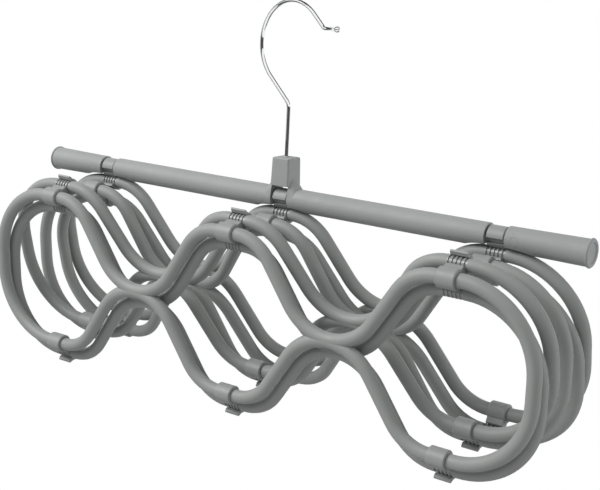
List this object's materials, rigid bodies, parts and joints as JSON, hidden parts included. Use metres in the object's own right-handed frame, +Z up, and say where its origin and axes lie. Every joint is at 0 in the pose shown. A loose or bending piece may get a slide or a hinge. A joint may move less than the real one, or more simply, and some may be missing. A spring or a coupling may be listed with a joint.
{
  "type": "scarf hanger",
  "caption": "Folding scarf hanger: a bar on a swivel hook carries wavy loop frames joined by clip links, so they stack in a zigzag or drop open into a hanging chain.",
  "frame": {"origin": "underside of the hook's bow, where the hook rests on a rail, straight above the middle of the bar", "axes": "+X along the bar, +Y to the back, away from the folded frames, +Z up"},
  "size_m": [0.402, 0.0869, 0.2493],
  "materials": {
    "bar_plastic": "satin",
    "frame_plastic": "satin",
    "link_plastic": "satin",
    "wire_chrome": "polished",
    "washer_steel": "plain"
  },
  "bodies": {
    "hook": {"hook_wire": "wire_chrome", "hook_washer": "washer_steel"},
    "bar": {"hanger_bar": "bar_plastic", "end_plug_left": "bar_plastic", "end_plug_right": "bar_plastic", "link_bar_1_left": "link_plastic", "link_bar_1_centre": "link_plastic", "link_bar_1_right": "link_plastic"},
    "tier_1": {"tier_frame_1": "frame_plastic", "link_1_2_left": "link_plastic", "link_1_2_centre": "link_plastic", "link_1_2_right": "link_plastic"},
    "tier_2": {"tier_frame_2": "frame_plastic"},
    "tier_3": {"tier_frame_3": "frame_plastic", "link_2_3_left": "link_plastic", "link_2_3_centre": "link_plastic", "link_2_3_right": "link_plastic"},
    "tier_4": {"tier_frame_4": "frame_plastic", "link_3_4_left": "link_plastic", "link_3_4_centre": "link_plastic", "link_3_4_right": "link_plastic"},
    "tier_5": {"tier_frame_5": "frame_plastic", "link_4_5_left": "link_plastic", "link_4_5_centre": "link_plastic", "link_4_5_right": "link_plastic", "link_5_6_left": "link_plastic", "link_5_6_centre": "link_plastic", "link_5_6_right": "link_plastic"},
    "tier_6": {"tier_frame_6": "frame_plastic"}
  },
  "joints": [
    {"name": "hook_swivel", "type": "hinge", "parent": "hook", "child": "bar", "pos_m": [0, 0, 0], "axis": [0, 0, 1], "continuous": true},
    {"name": "tier1_swing", "type": "hinge", "parent": "bar", "child": "tier_1", "pos_m": [0, 0, -0.1277], "axis": [1, 0, 0], "range_deg": [-40, 25]},
    {"name": "tier2_fold", "type": "hinge", "parent": "tier_1", "child": "tier_2", "pos_m": [0, 0.01417, -0.23612], "axis": [1, 0, 0], "range_deg": [0, 170]},
    {"name": "tier3_fold", "type": "hinge", "parent": "tier_2", "child": "tier_3", "pos_m": [0, -0.00748, -0.13849], "axis": [1, 0, 0], "range_deg": [-170, 0]},
    {"name": "tier4_fold", "type": "hinge", "parent": "tier_3", "child": "tier_4", "pos_m": [0, -0.01126, -0.23111], "axis": [1, 0, 0], "range_deg": [0, 165]},
    {"name": "tier5_fold", "type": "hinge", "parent": "tier_4", "child": "tier_5", "pos_m": [0, -0.04361, -0.12598], "axis": [1, 0, 0], "range_deg": [-165, 0]},
    {"name": "tier6_fold", "type": "hinge", "parent": "tier_5", "child": "tier_6", "pos_m": [0, -0.04082, -0.24011], "axis": [1, 0, 0], "range_deg": [-10, 0]}
  ],
  "couplings": [
    {"joint": "tier3_fold", "follows": "tier2_fold", "ratio": -1},
    {"joint": "tier5_fold", "follows": "tier4_fold", "ratio": -1},
    {"joint": "tier6_fold", "follows": "tier4_fold", "ratio": -0.06}
  ]
}
